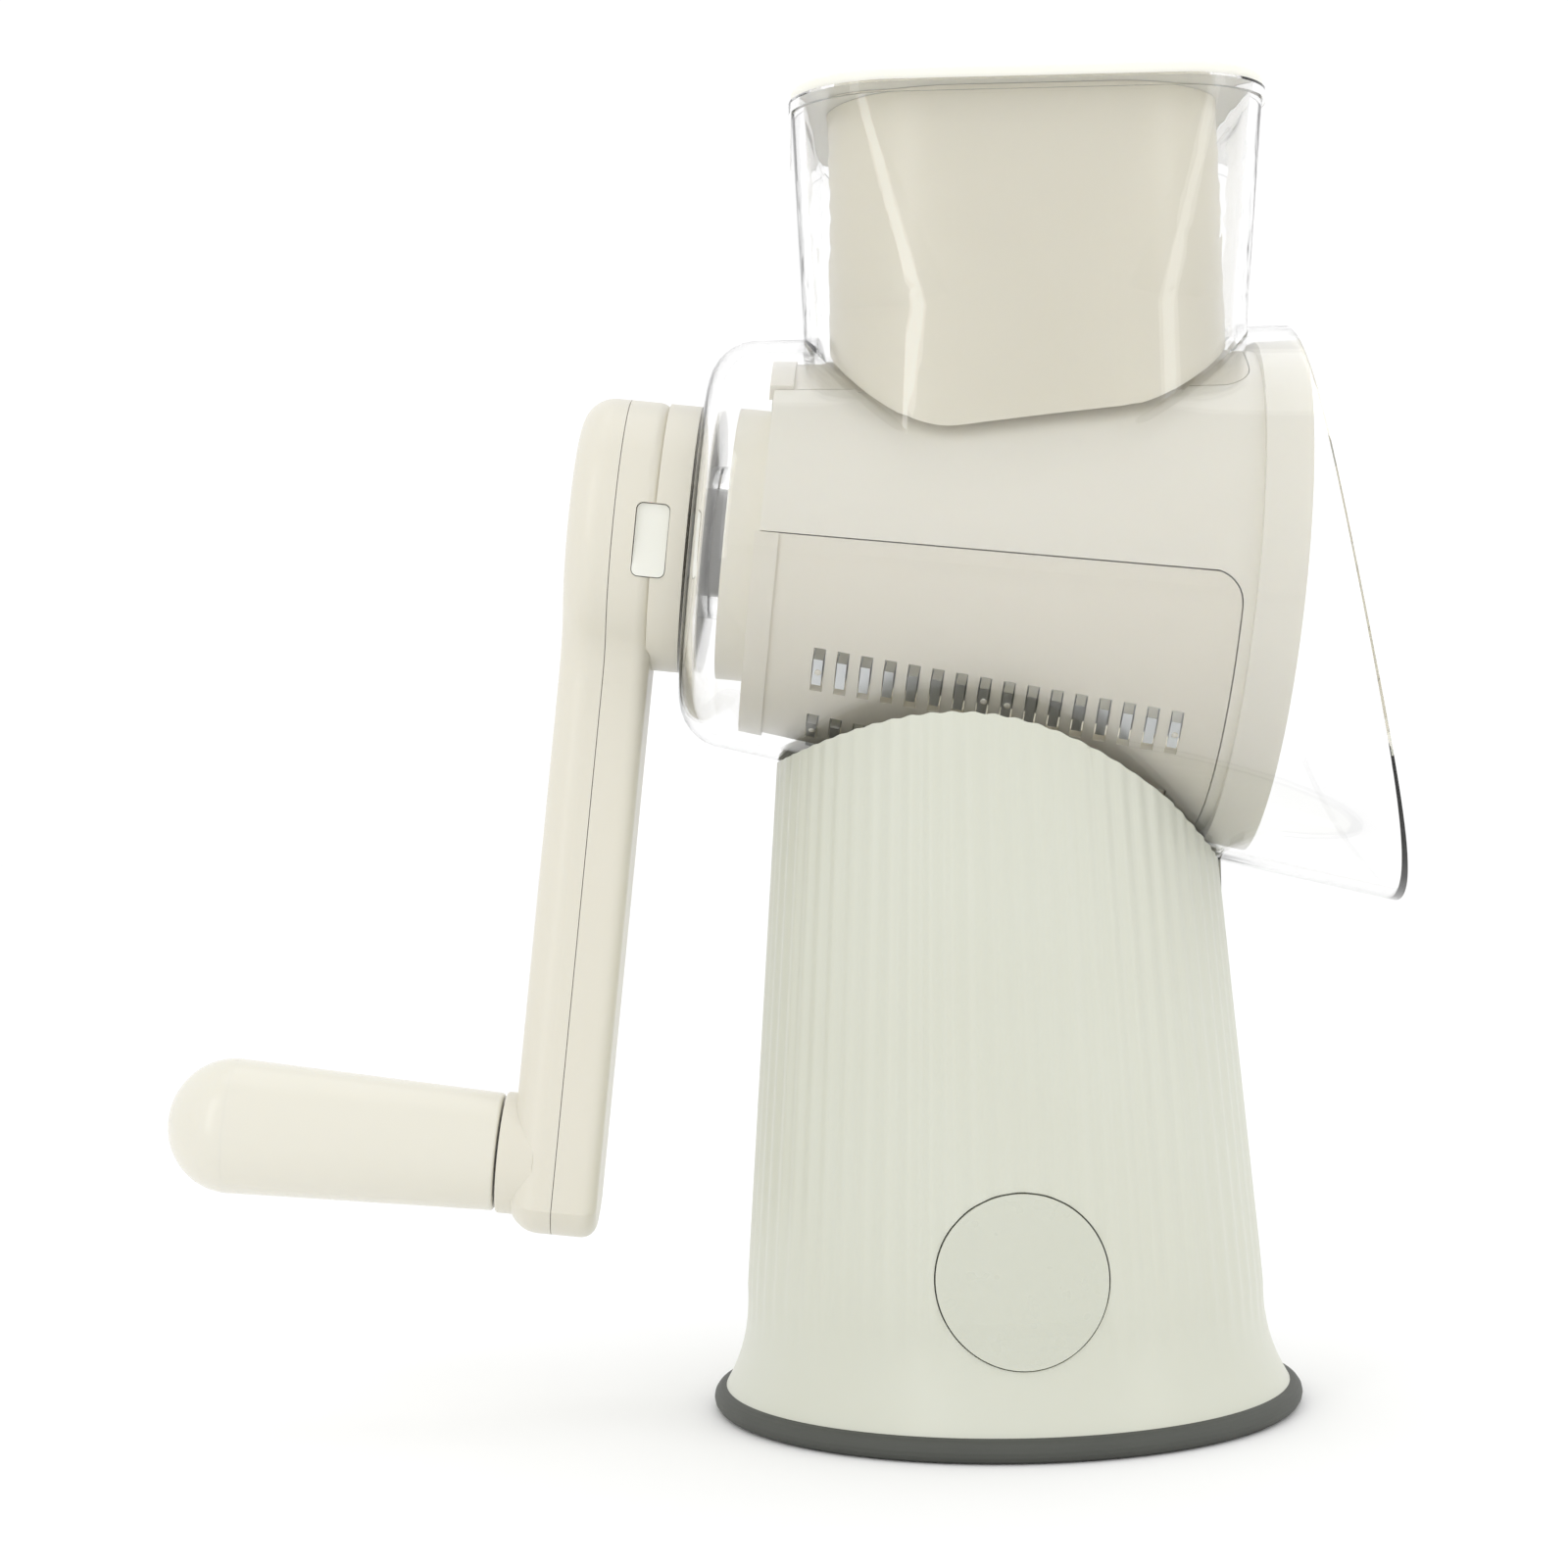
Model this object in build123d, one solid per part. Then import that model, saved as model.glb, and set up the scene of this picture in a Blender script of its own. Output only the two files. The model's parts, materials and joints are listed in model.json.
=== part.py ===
from build123d import *
from math import atan, cos, degrees, pi, radians, sin, sqrt, tan
import os

# Rotary cheese grater on a suction base. Millimetres, +Z up, origin on the worktop under the
# middle of the base. The front is -Y, the crank is at -X and the spout at +X.
# Drum, crank and feed housing share one turning axis, which drops towards the spout. Their
# parts are drawn along X on a level axis and then placed by AXIS.

# ---------------------------------------------------------------- driving dimensions
axis_height = 184.0        # turning axis above the worktop, over the middle of the base
axis_tilt = 7.0            # degrees that the axis drops towards the spout
cone_angle = 7.2           # half angle of drum and housing
gap = 0.3                  # between parts that don't fit in each other
running_gap = 0.06         # radial, shaft in bearing
seat_gap = 0.15            # between parts that are pushed together by hand

# feed housing, distances along the axis from over the middle of the base
housing_radius = 52.0      # outer, at distance 0
housing_wall = 2.5
housing_rear = -65.0
housing_rear_round = 11.0
spout_top = 59.0
spout_reach = 200.0        # length of the tool that cuts the mouth
spout_middle = 71.5        # where the hollowed mouth crosses the axis
spout_bottom = 97.0
hopper_centre = 9.0
hopper_width = 96.5        # outer, where it meets the cone
hopper_depth = 94.0
hopper_corner = 37.0       # where it meets the cone
hopper_top_corner = 20.0
hopper_top = 281.5
hopper_draft = 2.2
rim_height = 2.5
rim_step = 1.0
boss_length = 6.0          # inward boss that holds the drive bush
lug_x0 = 46.2              # snap lug that holds the housing on the base
lug_low = 101.0

# drum
drum_radius = 46.6         # outer, at distance 0
drum_wall = 2.4
drum_rear = -50.0
panel_front = 49.5
flange_start = 52.0
drum_front = 61.5
flange_step = 2.0
panel_span = 130.0         # degrees
panel_count = 2
panel_corner = 6.5
panel_lip = 4.0
panel_lip_height = 0.8
row_count = 3
row_spacing = 25.5         # degrees
teeth = 16
tooth_pitch = 5.0
tooth_row_centre = 2.5
window_width = 2.6
window_height = 11.0
tooth_width = 2.0
tooth_height = 6.5
tooth_stand = 0.5          # above the panel
strip_thickness = 0.6

# drive
spindle_radius = 8.0
spindle_hex = 13.0         # across flats
socket_wall = 4.0
socket_depth = 24.0
bush_radius = 12.0
bush_flange = 15.0
bush_flange_thickness = 1.5
spindle_flange = 12.5

# crank
hub_radius = 29.5
arm_inner = -71.7          # arm face on the housing side
arm_outer = -91.5
arm_split = -81.5          # where inner and outer arm shells meet
hub_face = -65.8
arm_width = 27.0
arm_wall = 2.4
throw = 139.0              # turning axis to grip axis
arm_end = 17.0             # arm beyond the grip axis
arm_edge = 7.0             # rounding of the outer face
arm_inner_edge = 3.5       # rounding of the face on the housing side
arm_boss_radius = 13.4
arm_boss = -94.3
button_length = 15.5
button_width = 7.0
button_drop = 3.0          # button centre below the turning axis at rest
button_travel = 2.0
button_stand = 0.6

# grip
grip_inner_radius = 13.0
grip_outer_radius = 14.9
grip_start = -94.8
grip_seam = -154.0
grip_end = -168.4
pin_radius = 4.0
pin_head_radius = 7.0

# pusher
pusher_width = 84.6
pusher_depth = 82.0
pusher_corner = 26.0
pusher_wall = 2.2
pusher_gap = 3.2           # pusher to drum
pusher_plate = 2.6
pusher_plate_width = 101.0
pusher_plate_depth = 98.5

# base
shell_top_radius = 46.4    # outer, at shell_top
shell_top = 152.0
shell_straight = 27.0
shell_low_radius = 56.6
shell_foot_radius = 62.0
shell_bottom = 5.0
shell_wall = 2.6
saddle_radius = 68.0
saddle_tilt = 13.0
saddle_low = 131.4         # lowest line of the saddle over the middle of the base
knob_height = 35.3
disc_radius = 17.7
disc_stand = 0.5           # disc proud of the shell
cover_wall = 1.6
cup_radius = 64.7
cup_height = 5.0

# suction mechanism
cam_radius = 9.0
cam_throw = 2.83
cam_width = 8.0
cam_shaft_radius = 5.0
cup_lift = 4.0
stem_radius = 5.0
frame_bar = 4.0

slope = tan(radians(cone_angle))
AXIS = Location((0, 0, axis_height), (0, axis_tilt, 0))


def housing_at(along):
    """Outer radius of the housing cone."""
    return housing_radius + along * slope


def drum_at(along):
    """Outer radius of the drum cone."""
    return drum_radius + along * slope


def shell_at(height):
    """Outer radius of the straight part of the base shell."""
    share = (height - shell_straight) / (shell_top - shell_straight)
    return shell_low_radius + share * (shell_top_radius - shell_low_radius)


def face_of(points):
    """A face in the XZ plane from (x, z) pairs."""
    corners = [Vector(a, 0, b) for a, b in points]
    return Face(Wire.make_polygon(corners, close=True))


def turned_x(points, angle=360.0):
    """A solid turned about the X axis from (along, radius) points."""
    return revolve(face_of(points), Axis.X, angle)


def turned_z(points):
    """A solid turned about the Z axis from (radius, height) points."""
    return revolve(face_of(points), Axis.Z, 360.0)


def rod_x(radius, start, end, y=0.0, z=0.0):
    """A round bar along X."""
    bar = Cylinder(radius, abs(end - start), rotation=(0, 90, 0))
    return Pos((start + end) / 2, y, z) * bar


def rod_y(radius, start, end, x=0.0, z=0.0):
    """A round bar along Y."""
    bar = Cylinder(radius, abs(end - start), rotation=(90, 0, 0))
    return Pos(x, (start + end) / 2, z) * bar


def rod_z(radius, low, high, x=0.0, y=0.0):
    """A round bar along Z."""
    return Pos(x, y, (low + high) / 2) * Cylinder(radius, high - low)


def block(x0, x1, y0, y1, z0, z1):
    """A box between two corners."""
    return Pos((x0 + x1) / 2, (y0 + y1) / 2, (z0 + z1) / 2) * Box(x1 - x0, y1 - y0, z1 - z0)


def hexagon_x(across, start, end):
    """A hexagonal bar along X."""
    outline = RegularPolygon(across / 2, 6, major_radius=False)
    return Pos(start, 0, 0) * extrude(Plane.YZ * outline, end - start)


# ---------------------------------------------------------------- feed housing
def cone_x(radius_at, start, end, grow=0.0):
    """A solid cone along X whose radius follows radius_at, enlarged by grow."""
    return turned_x([(start, 0), (start, radius_at(start) + grow), (end, radius_at(end) + grow), (end, 0)])


def hopper_block(inset, low):
    """The hopper's outline as a tall block that widens and squares up towards its top."""
    neck = axis_height + housing_radius
    above = hopper_top + rim_height
    grow = 2 * (above - neck) * tan(radians(hopper_draft)) - 2 * inset
    narrow = RectangleRounded(
        hopper_width - 2 * inset, hopper_depth - 2 * inset, hopper_corner - inset
    )
    wide = RectangleRounded(hopper_width + grow, hopper_depth + grow, hopper_top_corner - inset)
    neck_face = Pos(hopper_centre, 0, neck) * narrow
    body = loft([neck_face, Pos(hopper_centre, 0, above) * wide])
    return body + extrude(neck_face, neck - low, dir=(0, 0, -1))


def rounded_rear(radius, rear, round_radius):
    """Points of the rounded edge between the rear face and the cone."""
    steps = 8
    edge = []
    for i in range(steps + 1):
        turn = pi / 2 * i / steps
        edge.append((rear + round_radius * (1 - cos(turn)), radius - round_radius * (1 - sin(turn))))
    return edge


def housing_body(inset):
    """Closed cone with a rounded rear, taken in by inset all round."""
    rear = housing_rear + inset
    round_radius = housing_rear_round - inset
    rear_radius = housing_at(rear + round_radius) - inset
    outline = [(rear, 0)] + rounded_rear(rear_radius, rear, round_radius)
    end = spout_bottom + 20
    outline += [(end, housing_at(end) - inset), (end, 0)]
    return turned_x(outline)


def spout_cut():
    """Everything beyond the mouth of the spout, which is hollowed along an arc seen from the side."""
    top = (spout_top, 0, housing_at(spout_top))
    low = (spout_bottom, 0, -housing_at(spout_bottom))
    mouth = ThreePointArc(top, (spout_middle, 0, 0), low)
    above = Vector(mouth @ 0) - (mouth % 0) * spout_reach / 4
    below = Vector(mouth @ 1) + (mouth % 1) * spout_reach / 4
    far_below, far_above = (spout_reach, 0, below.Z), (spout_reach, 0, above.Z)
    rest = Polyline([mouth @ 1, below, far_below, far_above, above, mouth @ 0])
    return extrude(Face(Wire([mouth, *rest.edges()])), spout_reach, both=True)


def feed_housing():
    hopper = hopper_block(0.0, axis_height + 10) & rod_z(200, 0, hopper_top)
    outer = AXIS * housing_body(0.0) + hopper
    rim = Pos(hopper_centre, 0, hopper_top - rim_height) * extrude(
        RectangleRounded(pusher_plate_width, pusher_plate_depth, hopper_top_corner + rim_step),
        rim_height,
    )
    foot = block(-24, 12, -8, 8, axis_height - housing_radius - 14, axis_height - 30)
    lug = block(lug_x0, lug_x0 + 3, -8, 8, lug_low, axis_height - 50)
    hook = block(lug_x0 - 3.0, lug_x0 + 3, -8, 8, lug_low, lug_low + 3)
    boss = AXIS * rod_x(bush_flange + 2, housing_rear + 1, housing_rear + housing_wall + boss_length)
    body = outer + rim + foot + lug + hook
    body -= AXIS * housing_body(housing_wall)
    body += boss
    body -= hopper_block(housing_wall, axis_height)
    body -= AXIS * spout_cut()
    body -= AXIS * rod_x(bush_radius + seat_gap, housing_rear - 5, housing_rear + 20)
    # recess for the bush flange
    recess = rod_x(
        bush_flange + gap, housing_rear + housing_wall + boss_length - bush_flange_thickness,
        housing_rear + 20,
    )
    return body - AXIS * recess


def drive_bush():
    inner_face = housing_rear + housing_wall + boss_length
    body = rod_x(bush_radius, housing_rear, inner_face)
    body += rod_x(bush_flange, inner_face - bush_flange_thickness, inner_face)
    return AXIS * (body - rod_x(spindle_radius + running_gap, housing_rear - 5, inner_face + 5))


# ---------------------------------------------------------------- drum
def on_cone(angle, along, height):
    """Place on the drum cone at an angle from the front, positive downwards."""
    return (
        Rot(90 + angle, 0, 0)
        * Pos(along, 0, drum_at(along) + height)
        * Rot(0, -cone_angle, 0)
    )


def drum_shell(start, end, grow, depth):
    """A full ring of the drum cone."""
    return turned_x(
        [
            (start, drum_at(start) + grow),
            (end, drum_at(end) + grow),
            (end, drum_at(end) + grow - depth),
            (start, drum_at(start) + grow - depth),
        ]
    )


def panel_blank(start_angle, clear, depth):
    """A sector of the drum cone with rounded corners at its front end, grown by clear."""
    low, high = drum_rear - 1.0, panel_front + clear
    grow = 3.0 if clear else 0.0
    sector = turned_x(
        [
            (low, drum_at(low) + grow),
            (high, drum_at(high) + grow),
            (high, drum_at(high) - depth),
            (low, drum_at(low) - depth),
        ],
        panel_span + 2 * degrees(clear / drum_radius),
    )
    sector = Rot(90 + start_angle - degrees(clear / drum_radius), 0, 0) * sector
    corner = panel_corner + clear
    for side, angle in ((1, start_angle), (-1, start_angle + panel_span)):
        turn = degrees((corner - clear) / drum_at(high))
        tool = block(0, 12, min(0, 12 * side), max(0, 12 * side), -9, 6)
        tool -= rod_z(corner, -20, 20)
        sector -= on_cone(angle + side * turn, high - corner, 0) * tool
    return sector


def row_angles(start_angle):
    """Angles of the tooth rows of a panel, spread about its middle."""
    middle = start_angle + panel_span / 2
    first = middle - row_spacing * (row_count - 1) / 2
    return [first + i * row_spacing for i in range(row_count)]


def tooth_positions():
    return [tooth_row_centre + (i - (teeth - 1) / 2) * tooth_pitch for i in range(teeth)]


def blade_panel(start_angle):
    """Moulded panel with rows of windows for the teeth and a lip at its rear edge."""
    body = panel_blank(start_angle, 0.0, drum_wall)
    lip = turned_x(
        [
            (drum_rear - 1.0, drum_at(drum_rear) + panel_lip_height),
            (drum_rear + panel_lip, drum_at(drum_rear + panel_lip) + panel_lip_height),
            (drum_rear + panel_lip, drum_at(drum_rear + panel_lip) - drum_wall / 2),
            (drum_rear - 1.0, drum_at(drum_rear) - drum_wall / 2),
        ],
        panel_span,
    )
    body += Rot(90 + start_angle, 0, 0) * lip
    windows = [
        on_cone(angle, along, -drum_wall / 2) * Box(window_width, window_height, drum_wall * 3)
        for angle in row_angles(start_angle)
        for along in tooth_positions()
    ]
    return AXIS * (body - windows)


def tooth_strips(start_angle):
    """One steel comb behind each row of windows. Its teeth stand out through them."""
    strips = []
    stack = drum_wall + tooth_stand
    for angle in row_angles(start_angle):
        under = -drum_wall - gap - strip_thickness
        sagitta = drum_radius * (1 - cos(atan(tooth_height / 2 / (drum_radius - 8))))
        base = on_cone(angle, tooth_row_centre, under + strip_thickness / 2 - sagitta) * Box(
            teeth * tooth_pitch + 1.0, tooth_height, strip_thickness
        )
        combs = []
        for along in tooth_positions():
            height = stack + gap + sagitta + strip_thickness / 2
            middle = tooth_stand - height / 2
            combs.append(on_cone(angle, along, middle) * Box(tooth_width, tooth_height, height))
        strip = base + combs
        strips.append(AXIS * strip)
    return Compound(children=strips)


def drum_frame():
    """Cone with a front flange, a rear plate with the drive socket, and pockets for the panels."""
    body = drum_shell(drum_rear, drum_front, 0.0, drum_wall)
    body += turned_x(
        [
            (flange_start, drum_at(flange_start) - 0.5),
            (flange_start, drum_at(flange_start) + flange_step),
            (drum_front, drum_at(drum_front) + flange_step),
            (drum_front, drum_at(drum_front) - 0.5),
        ]
    )
    for i in range(panel_count):
        start = 360.0 / panel_count * i
        # ledge that each panel rests on
        body -= panel_blank(start, gap, drum_wall + 1)
    rear_radius = drum_at(drum_rear) - gap
    plate = turned_x(
        [
            (drum_rear, 0), (drum_rear, rear_radius - drum_wall),
            (drum_rear + 3, rear_radius - drum_wall), (drum_rear + 3, 0),
        ]
    )
    skirt = drum_shell(drum_rear, drum_rear + 8, -drum_wall - gap, 2.0)
    front_band = drum_shell(panel_front - 4, drum_front, -drum_wall - gap, 2.0)
    ring = rod_x(30, drum_rear - 8, drum_rear + 1) - rod_x(27, drum_rear - 9, drum_rear - 0.001)
    socket_radius = spindle_hex / 2 / cos(pi / 6) + socket_wall
    socket = rod_x(socket_radius, drum_rear - 4, drum_rear + socket_depth)
    spokes = [
        Rot(60 * i, 0, 0) * block(drum_rear + 2, drum_rear + 10, -1.2, 1.2, 8, rear_radius - drum_wall - 1)
        for i in range(6)
    ]
    band_joint = turned_x(
        [
            (flange_start, drum_at(flange_start) - drum_wall - 1),
            (drum_front, drum_at(drum_front) - drum_wall - 1),
            (drum_front, drum_at(drum_front) - drum_wall + 0.5),
            (flange_start, drum_at(flange_start) - drum_wall + 0.5),
        ]
    )
    body = body + plate + skirt + front_band + band_joint + ring + socket + spokes
    # bars under the edges of the panels, which tie the rear skirt to the front band
    for i in range(panel_count):
        for edge in (0.0, panel_span):
            angle = 360.0 / panel_count * i + edge
            bar = block(drum_rear + 1, panel_front + 1, -4, 4, -drum_wall - gap - 2.4, -drum_wall - gap - 0.2)
            body += on_cone(angle, 0, 0) * bar
    body += [
        on_cone(360.0 / panel_count * i - (360.0 / panel_count - panel_span) / 2, 0, -drum_wall - 1)
        * Box(90, 6, 2.5)
        for i in range(panel_count)
    ]
    bore = hexagon_x(spindle_hex + 2 * seat_gap, drum_rear - 5, drum_rear + socket_depth - 3)
    return AXIS * (body - bore)


# ---------------------------------------------------------------- crank
def arm_outline(inset):
    """The arm seen along the turning axis: a hub disc, a bar and a round end."""
    hub = Circle(hub_radius - inset)
    bar = Pos(0, -throw / 2) * Rectangle(arm_width - 2 * inset, throw)
    end = Pos(0, -throw) * Circle(arm_width / 2 - inset)
    foot = Pos(0, -throw) * Circle(arm_end - inset)
    foot = foot & (Pos(0, -throw - 10) * Rectangle(arm_width - 2 * inset, 40))
    outline = hub + bar + end + foot
    if inset == 0:
        corners = [v for v in outline.vertices() if -hub_radius < v.Y < -10 and abs(v.X) < arm_width]
        outline = fillet(corners, 14.0)
    return outline


def along_x(outline, start, end):
    """A flat outline (Y, Z) pushed along X."""
    return Pos(start, 0, 0) * extrude(Plane.YZ * outline, end - start)


def arm_shell_solid():
    """The outside of the whole crank arm, before it is split and hollowed."""
    arm = along_x(arm_outline(0.0), arm_outer, arm_inner)
    hub = rod_x(hub_radius, arm_inner - 1, hub_face)
    arm = fillet(arm.edges().filter_by(lambda e: abs(e.center().X - arm_outer) < 0.01), arm_edge)
    arm = fillet(arm.edges().filter_by(lambda e: abs(e.center().X - arm_inner) < 0.01), arm_inner_edge)
    return arm + hub


def buttons_hole(side, clear, reach=40.0):
    """The pocket or plug of a release button, on the front (-1) or back (1) of the hub."""
    outline = RectangleRounded(button_width + 2 * clear, button_length + 2 * clear, 1.4 + clear)
    y0, y1 = (hub_radius - 12, reach) if side > 0 else (-reach, -(hub_radius - 12))
    prism = Pos(button_along, y0, -button_drop) * extrude(Plane.XZ * outline, -(y1 - y0))
    return prism


button_along = arm_inner - 1.5


def arm_hollow(wall):
    """The hollow inside the bar of the arm, between hub and grip pin."""
    return Pos(0, -throw / 2 + 8) * Rectangle(arm_width - 2 * wall, throw - 55)


def crank_core():
    """Inner half of the arm: the hub, the spindle seat and the inner side of the arm."""
    body = arm_shell_solid()
    body = body & block(arm_split + seat_gap, 0, -100, 100, -200, 100)
    cavity = along_x(arm_hollow(arm_wall), arm_split - 1, arm_inner - arm_wall)
    hub_cavity = along_x(Circle(hub_radius - 3), arm_split - 1, hub_face - 4)
    hub_cavity -= along_x(Circle(spindle_flange + 3), arm_split - 2, 0)
    body -= cavity + hub_cavity
    body += rod_x(7.5, arm_split + seat_gap, arm_inner - 0.5, 0, -throw)
    for side in (-1, 1):
        body -= buttons_hole(side, seat_gap)
    body -= rod_x(pin_radius + 0.0, arm_split - 1, arm_inner - 6, 0, -throw)
    body -= rod_x(spindle_radius - 1 + seat_gap, arm_outer, 0)
    body -= rod_x(spindle_flange + seat_gap, arm_split - 1, arm_split + 3)
    for y, z in arm_screw_places:
        post_end = hub_face - 3 if z > -hub_radius else arm_inner - 1
        body += rod_x(3.2, arm_split + seat_gap, post_end, y, z)
        body -= rod_x(1.0, arm_split - 1, arm_split + 7, y, z)
    return AXIS * body


arm_screw_places = [(0, -44), (0, -112), (0, 21)]


def crank_cover():
    """Outer half of the arm, with the boss that the grip turns against."""
    body = arm_shell_solid()
    body = body & block(-200, arm_split, -100, 100, -200, 100)
    boss = rod_x(arm_boss_radius, arm_boss, arm_outer + 5, 0, -throw)
    boss = fillet(boss.edges().filter_by(lambda e: abs(e.center().X - arm_boss) < 0.01), 0.6)
    body += boss
    cavity_face = arm_outer + arm_wall + 1.5
    cavity = along_x(arm_hollow(arm_wall + 1), cavity_face, arm_split + 1)
    hub_cavity = along_x(Circle(hub_radius - 5), cavity_face, arm_split + 1)
    body -= cavity + hub_cavity
    for y, z in arm_screw_places:
        body += rod_x(3.2, arm_outer + 1, arm_split, y, z)
        body -= rod_x(1.3, arm_outer + 4, arm_split + 1, y, z)
    body -= rod_x(pin_radius + seat_gap, arm_boss - 1, arm_split + 1, 0, -throw)
    return AXIS * body


def crank_screws():
    """Self-tapping screws that hold the two halves of the arm together, driven from inside."""
    screws = []
    for y, z in arm_screw_places:
        shank = rod_x(1.0, arm_split - 2, arm_split + 6, y, z)
        shank += rod_x(1.25, arm_outer + 4.5, arm_split - 1.9, y, z)
        screws.append(AXIS * shank)
    return Compound(children=screws)


def drive_spindle():
    """Shaft from the crank hub through the bush into the drum socket."""
    body = rod_x(spindle_flange, arm_split + 0.3, arm_split + 2.8)
    body += rod_x(spindle_radius - 1, arm_split + 0.3, hub_face)
    body += rod_x(spindle_radius, hub_face, drum_rear - 4.5)
    body += hexagon_x(spindle_hex, drum_rear - 5, drum_rear + socket_depth - 4)
    return AXIS * body


def release_button(side):
    """Spring-loaded button in the side of the hub."""
    outline = RectangleRounded(button_width, button_length, 1.4)
    low, high = hub_radius - 8.5, hub_at_button + button_stand
    cap = extrude(Plane.XZ * outline, high - low)
    stem = extrude(Plane.XZ * Rectangle(3, 6), 3.0)
    if side > 0:
        cap = Pos(button_along, high, -button_drop) * cap
    else:
        cap = Pos(button_along, -low, -button_drop) * cap
    return AXIS * cap


hub_at_button = sqrt(hub_radius**2 - (button_drop + button_length / 2) ** 2)


def grip_pin():
    """Steel pin from the arm out to the end of the grip."""
    body = rod_x(pin_radius, arm_inner - 6.5, grip_seam + 6, 0, -throw)
    body += rod_x(pin_head_radius, grip_seam + 3, grip_seam + 6, 0, -throw)
    return AXIS * body


def grip_sleeve():
    outer = turned_x(
        [
            (grip_start, 0), (grip_start, grip_inner_radius),
            (grip_seam, grip_outer_radius), (grip_seam, 0),
        ]
    )
    outer = fillet(outer.edges().filter_by(lambda e: abs(e.center().X - grip_start) < 0.01), 0.8)
    bore = rod_x(pin_radius + running_gap, grip_start + 1, grip_seam - 1)
    pocket = rod_x(pin_head_radius + 0.5, grip_seam - 1, grip_seam + 6 + 0.8)
    relief = turned_x(
        [
            (grip_start - 12, pin_radius + 3), (grip_start - 12, grip_inner_radius - 2),
            (grip_seam + 14, grip_outer_radius - 3), (grip_seam + 14, pin_radius + 3),
        ]
    )
    return AXIS * (Pos(0, 0, -throw) * (outer - bore - pocket - relief))


def grip_cap():
    """Domed end of the grip, with a spigot in the sleeve."""
    steps = 10
    dome_length = grip_seam - grip_end
    dome = [
        (grip_seam - dome_length * sin(turn), grip_outer_radius * cos(turn))
        for turn in (pi / 2 * i / steps for i in range(steps))
    ]
    edge = Spline([(a, 0, r) for a, r in dome] + [(grip_end, 0, 0)], tangents=[(-1, 0, 0), (0, 0, -1)])
    back = Polyline([(grip_end, 0, 0), (grip_seam, 0, 0), (grip_seam, 0, grip_outer_radius)])
    cap = revolve(Face(Wire([edge, *back.edges()])), Axis.X, 360.0)
    spigot = rod_x(pin_head_radius + 0.5 - seat_gap, grip_seam - 1, grip_seam + 2)
    return AXIS * (Pos(0, 0, -throw) * (cap + spigot))


# ---------------------------------------------------------------- pusher
def pusher_outline(inset):
    return RectangleRounded(pusher_width - 2 * inset, pusher_depth - 2 * inset, pusher_corner - inset)


def pusher_body():
    low = axis_height - 5
    high = hopper_top
    body = Pos(hopper_centre, 0, low) * extrude(pusher_outline(0), high - low)
    body -= AXIS * cone_x(drum_at, -90, 120, pusher_gap)
    hollow = Pos(hopper_centre, 0, low) * extrude(pusher_outline(pusher_wall), high - low + 1)
    hollow -= AXIS * cone_x(drum_at, -90, 120, pusher_gap + pusher_wall)
    return body - hollow


def pusher_cap():
    """Top plate that rests on the hopper rim, with a locating rib inside the pusher."""
    plate = Pos(hopper_centre, 0, hopper_top + gap / 3) * extrude(
        RectangleRounded(pusher_plate_width - 1, pusher_plate_depth - 1, hopper_top_corner + rim_step),
        pusher_plate,
    )
    plate = fillet(plate.edges().group_by(Axis.Z)[-1], 1.0)
    rib = pusher_outline(pusher_wall + seat_gap) - pusher_outline(pusher_wall + seat_gap + 1.6)
    rib = Pos(hopper_centre, 0, hopper_top - 5) * extrude(rib, 5 + gap)
    return plate + rib


# ---------------------------------------------------------------- base
def shell_outline(inset):
    """Radius and height of the base shell's outside, taken in by inset."""
    steps = 8
    points = [(shell_foot_radius - inset, shell_bottom)]
    flare = shell_foot_radius - shell_low_radius
    rise = shell_straight - shell_bottom
    for i in range(1, steps + 1):
        share = i / steps
        points.append((shell_low_radius - inset + flare * (1 - share) ** 2.4, shell_bottom + rise * share))
    points.append((shell_at(shell_top + 10) - inset, shell_top + 10))
    return points


def shell_solid(inset, low, high):
    points = shell_outline(inset)
    body = turned_z([(0, shell_bottom), *points, (0, shell_top + 10)])
    return body & rod_z(100, low, high)


def saddle_cut(lower):
    """Cylinder that cuts the saddle into the top of the base."""
    lift = saddle_radius / cos(radians(saddle_tilt))
    place = Location((0, 0, saddle_low - lower + lift), (0, saddle_tilt, 0))
    return place * rod_x(saddle_radius, -150, 150)


boss_ring = 44.0
plate_low = 9.0
plate_high = 12.0
cradle_low = 96.0
cradle_boss_ring = 37.0


def around(radius, count, first=45.0):
    """Points spread round a circle."""
    return [
        (radius * cos(radians(first + 360 / count * i)), radius * sin(radians(first + 360 / count * i)))
        for i in range(count)
    ]


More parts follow.
